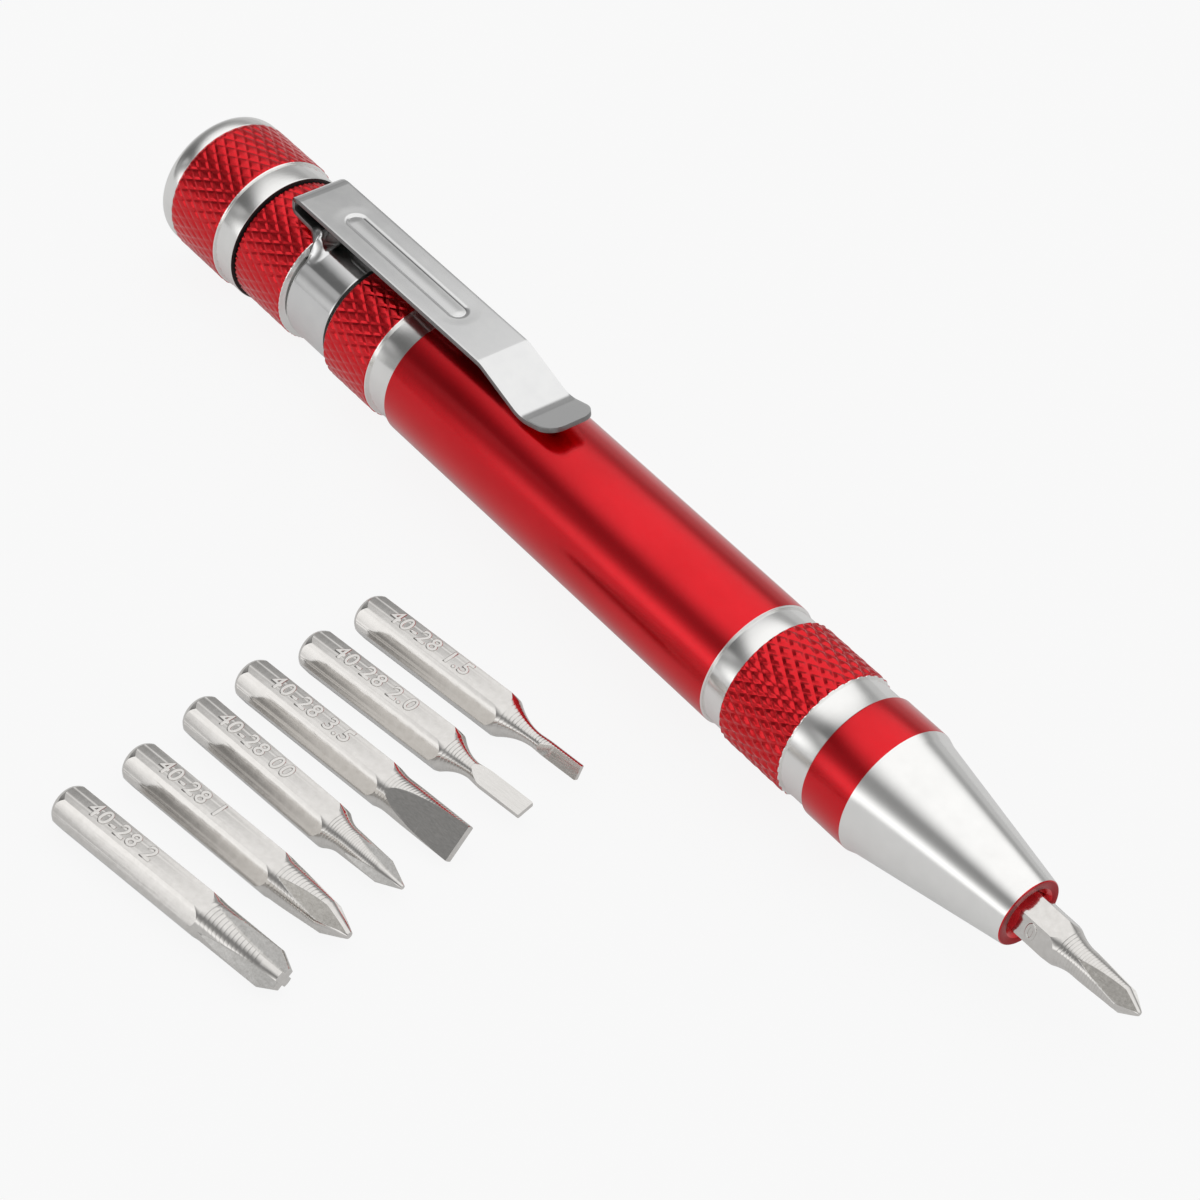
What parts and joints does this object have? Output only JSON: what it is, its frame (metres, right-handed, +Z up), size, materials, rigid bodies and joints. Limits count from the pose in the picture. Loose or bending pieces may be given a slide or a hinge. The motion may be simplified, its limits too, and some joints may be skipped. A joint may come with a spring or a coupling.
{
  "type": "pocket screwdriver",
  "caption": "Pen-style pocket screwdriver with a knurled red aluminium barrel, screw cap, sprung pocket clip, magnetic hex nose and interchangeable hex bits.",
  "frame": {"origin": "middle of the floor of the box around the pen and the loose bits", "axes": "+X along the pen from its cap to its nose, +Y from the loose bits toward the pen, +Z up from the table"},
  "size_m": [0.1351, 0.0686, 0.0169],
  "materials": {
    "red_aluminium": "satin red anodised",
    "bright_aluminium": "fine turned",
    "black_rubber": "matt",
    "magnet": "nickel plated",
    "clip_steel": "chromed spring steel",
    "bit_steel": "nickel plated tool steel"
  },
  "bodies": {
    "pen": {"barrel": "red_aluminium", "nose": "bright_aluminium", "socket_magnet": "magnet"},
    "seal": {"seal_ring": "black_rubber"},
    "cap": {"end_cap": "red_aluminium"},
    "clip": {"clip_collar": "clip_steel"},
    "clip_spring": {"clip_arm": "clip_steel"},
    "fitted_bit": {"cross_bit_0": "bit_steel"},
    "loose_cross_00": {"cross_bit_00": "bit_steel"},
    "loose_cross_1": {"cross_bit_1": "bit_steel"},
    "loose_cross_2": {"cross_bit_2": "bit_steel"},
    "loose_slotted_15": {"slotted_bit_15": "bit_steel"},
    "loose_slotted_20": {"slotted_bit_20": "bit_steel"},
    "loose_slotted_35": {"slotted_bit_35": "bit_steel"}
  },
  "joints": [
    {"name": "cap_travel", "type": "slide", "parent": "pen", "child": "seal", "axis": [-1, 0, 0], "range_m": [0, 0.008]},
    {"name": "cap_turn", "type": "hinge", "parent": "seal", "child": "cap", "pos_m": [-0.0553, 0.02676, 0.0075], "axis": [-1, 0, 0], "range_deg": [0, 2880]},
    {"name": "clip_swivel", "type": "hinge", "parent": "pen", "child": "clip", "pos_m": [-0.0438, 0.02676, 0.0075], "axis": [1, 0, 0], "continuous": true},
    {"name": "clip_flex", "type": "hinge", "parent": "clip", "child": "clip_spring", "pos_m": [-0.05158, 0.02676, 0.01584], "axis": [0, -1, 0], "range_deg": [0, 4], "stiffness_Nm_per_rad": 2},
    {"name": "bit_pull", "type": "slide", "parent": "pen", "child": "fitted_bit", "axis": [1, 0, 0], "range_m": [0, 0.018]},
    {"name": "lift_cross_00", "type": "slide", "parent": "pen", "child": "loose_cross_00", "axis": [0, 0, 1], "range_m": [0, 0.03]},
    {"name": "lift_cross_1", "type": "slide", "parent": "pen", "child": "loose_cross_1", "axis": [0, 0, 1], "range_m": [0, 0.03]},
    {"name": "lift_cross_2", "type": "slide", "parent": "pen", "child": "loose_cross_2", "axis": [0, 0, 1], "range_m": [0, 0.03]},
    {"name": "lift_slotted_15", "type": "slide", "parent": "pen", "child": "loose_slotted_15", "axis": [0, 0, 1], "range_m": [0, 0.03]},
    {"name": "lift_slotted_20", "type": "slide", "parent": "pen", "child": "loose_slotted_20", "axis": [0, 0, 1], "range_m": [0, 0.03]},
    {"name": "lift_slotted_35", "type": "slide", "parent": "pen", "child": "loose_slotted_35", "axis": [0, 0, 1], "range_m": [0, 0.03]}
  ],
  "couplings": [
    {"joint": "cap_travel", "follows": "cap_turn", "m_per_rad": 0.00015915}
  ]
}
